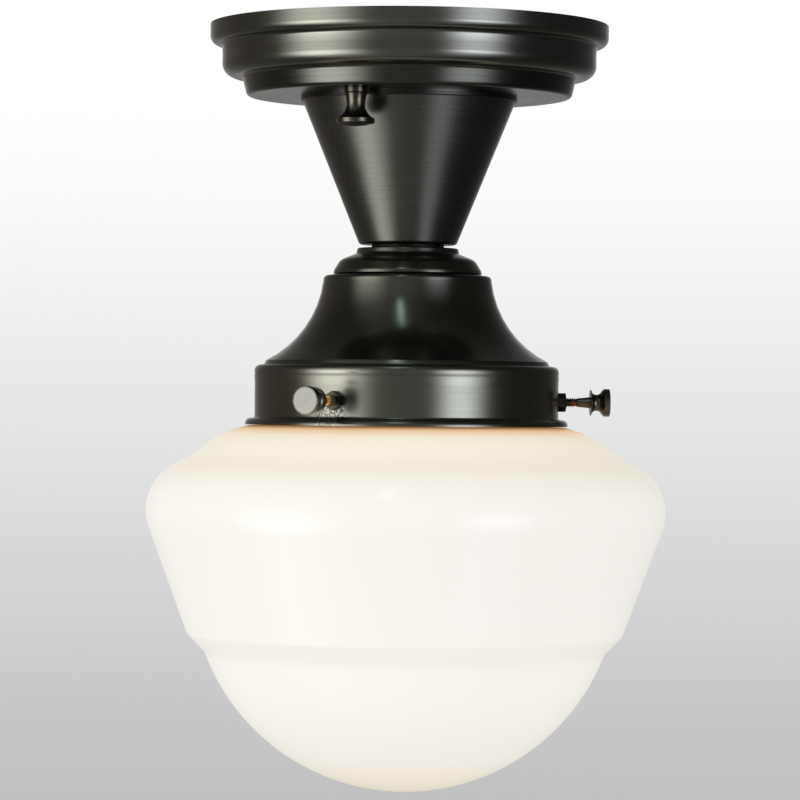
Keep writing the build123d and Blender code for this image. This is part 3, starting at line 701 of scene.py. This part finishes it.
def litOpal():
    tone = glassTone
    paint = Finish("opalGlass")
    place = paint.place()
    up = paint.axes(place)[2]
    clouds = paint.noise(tone["clouds"], 3.0, place)
    glow = paint.blend(clouds * tone["cloudShare"], paint.ramp(up / mm, tone["glow"]), tint(*tone["cloud"]))
    gloss = paint.vary(tone["gloss"], (clouds, tone["cloudGloss"]))
    ripple = paint.bump(clouds, tone["rippleDepth"], tone["ripple"])
    return paint.done(paint.surface({
        "Base Color": tint(*tone["body"]), "Roughness": gloss, "Specular IOR Level": 0.0,
        "Coat Weight": tone["coat"], "Coat Roughness": tone["coatGloss"], "Coat IOR": tone["coatBend"],
        "Emission Color": glow, "Emission Strength": 1.0, "Normal": ripple}))


def blowGlobe():
    size = glassSize
    pen = Pen(*size["neckTop"])
    pen.path(size["section"], step=size["sectionStep"])
    pen.bow(*size["bowl"], size["bowlStep"])
    globe = spinRound(pen, size["steps"], size["wall"])
    pen = Pen(*size["mouth"])
    pen.path(size["bead"])
    bead = spinRound(pen, size["steps"])
    beadMesh = bpy.data.meshes.new("bead")
    bead.to_mesh(beadMesh)
    bead.free()
    globe.from_mesh(beadMesh)
    bpy.data.meshes.remove(beadMesh)
    makePiece("opalGlobe", globe, litOpal(), "globe", "globe")


blowGlobe()
print("globe blown")

# plain finishes: a dark and a light tone, how metallic and how rough they are, their grains to the metre,
# and how deep the grain is in millimetres
plainTones = {
    "nutBronze": ((0.014, 0.012, 0.009), (0.026, 0.022, 0.016), 0.95, 0.32, 300, 0.01),
    # the gap spacer's bronze is painted nearly black, as painted shade in the narrow gap between the cone
    # and the neck cap
    "gapShadeBronze": ((0.010, 0.009, 0.008), (0.018, 0.016, 0.013), 0.9, 0.52, 500, 0.02),
    "zincSteel": ((0.42, 0.42, 0.41), (0.62, 0.62, 0.60), 1.0, 0.36, 220, 0.02),
    "greenEnamel": ((0.02, 0.16, 0.05), (0.03, 0.26, 0.09), 0.3, 0.30, 300, 0.01),
    "lampBrass": ((0.62, 0.44, 0.18), (0.83, 0.64, 0.32), 1.0, 0.28, 160, 0.01),
    "glazedPorcelain": ((0.72, 0.70, 0.65), (0.82, 0.81, 0.77), 0.0, 0.14, 60, 0.05),
    "blackInsulation": ((0.012, 0.012, 0.013), (0.03, 0.03, 0.032), 0.0, 0.42, 400, 0.02),
    "whiteInsulation": ((0.66, 0.65, 0.62), (0.78, 0.78, 0.75), 0.0, 0.42, 400, 0.02),
    "greenInsulation": ((0.02, 0.20, 0.06), (0.04, 0.32, 0.11), 0.0, 0.42, 400, 0.02),
    "orangePlastic": ((0.78, 0.20, 0.02), (0.92, 0.30, 0.04), 0.0, 0.35, 500, 0.03),
    "lampAluminium": ((0.66, 0.66, 0.66), (0.84, 0.84, 0.83), 1.0, 0.27, 240, 0.01),
    "blackGlass": ((0.006, 0.006, 0.008), (0.02, 0.018, 0.022), 0.0, 0.08, 120, 0.02),
    "tinSolder": ((0.48, 0.48, 0.49), (0.66, 0.66, 0.67), 1.0, 0.33, 500, 0.06),
}
# a finer and a coarser mottle run over each other in all of them
plainMottle = {"coarser": 6, "edges": (0.38, 0.62), "gloss": 0.14}


def plainFinish(name):
    dark, light, metal, gloss, grain, depth = plainTones[name]
    paint = Finish(name)
    place = paint.place()
    mottle = paint.noise(grain, 4.0, place)
    broad = paint.noise(grain / plainMottle["coarser"], 2.0, place)
    share = paint.ease(mottle * 0.6 + broad * 0.4, *plainMottle["edges"])
    colour = paint.blend(share, tint(*dark), tint(*light))
    roughness = paint.vary(gloss, (broad, plainMottle["gloss"]))
    return paint.done(paint.surface({"Base Color": colour, "Metallic": metal, "Roughness": roughness,
                                     "Normal": paint.bump(mottle, depth)}))


# the frosted lamp glows amber at its neck and white below; heights in millimetres
lampTone = {"body": (0.5, 0.5, 0.48), "neck": (0.70, 0.55, 0.38), "bulb": (1.0, 0.93, 0.80),
            "fade": (-160.0, -185.0), "frost": (0.8, 0.72, 0.6), "frostShare": 0.06, "gloss": 0.4,
            "frostGloss": 0.2, "grain": 900.0, "depth": 0.01}


def frostedLamp():
    tone = lampTone
    paint = Finish("frostedGlass")
    place = paint.place()
    up = paint.axes(place)[2]
    frost = paint.noise(tone["grain"], 3.0, place)
    below = paint.ease(up, *[height * mm for height in tone["fade"]])
    glow = paint.blend(below, tint(*tone["neck"]), tint(*tone["bulb"]))
    glow = paint.blend(frost * tone["frostShare"], glow, tint(*tone["frost"]))
    gloss = paint.vary(tone["gloss"], (frost, tone["frostGloss"]))
    return paint.done(paint.surface({
        "Base Color": tint(*tone["body"]), "Roughness": gloss, "Emission Color": glow,
        "Emission Strength": 1.0, "Normal": paint.bump(frost, tone["depth"])}))


gapSize = {
    "steps": 96, "start": (5.2, -79.8),
    "section": {"topEdge": (13.2, -79.8, 0.2), "footEdge": (13.2, -81.1, 0.2), "footHole": (5.2, -81.1),
                "topHole": (5.2, -79.8)},
}


def cutGapSpacer():
    size = gapSize
    pen = Pen(*size["start"])
    pen.path(size["section"])
    ring = spinRound(pen, size["steps"])
    # the spacer's nearly black finish is painted shade in the gap
    makePiece("gapSpacer", ring, plainFinish("gapShadeBronze"), "fixture", "gap_spacer")


cutGapSpacer()

# the frame's own parts by finish
nodeFinishes = {
    "nutBronze": ["fitter_screw_nuts"],
    "zincSteel": ["crossbar", "canopy_studs", "stud_lock_nuts", "stem_nipple", "canopy_lock_washer",
                  "canopy_locknut", "fitter_washer", "fitter_locknut"],
    "greenEnamel": ["ground_screw"],
    "lampBrass": ["socket_cap", "socket_shell", "socket_contact"],
    "glazedPorcelain": ["socket_body"],
    "blackInsulation": ["hot_lead"],
    "whiteInsulation": ["neutral_lead"],
    "greenInsulation": ["ground_lead"],
    "orangePlastic": ["wire_connectors"],
    "lampAluminium": ["bulb_base"],
    "blackGlass": ["bulb_insulator"],
    "tinSolder": ["bulb_contact"],
}


def dressNodes():
    dressed = {"bulb_envelope": frostedLamp()}
    for name, nodes in nodeFinishes.items():
        dressed.update(dict.fromkeys(nodes, plainFinish(name)))
    for node, material in dressed.items():
        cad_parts[node].material_slots[0].material = material


dressNodes()
print("frame parts dressed")
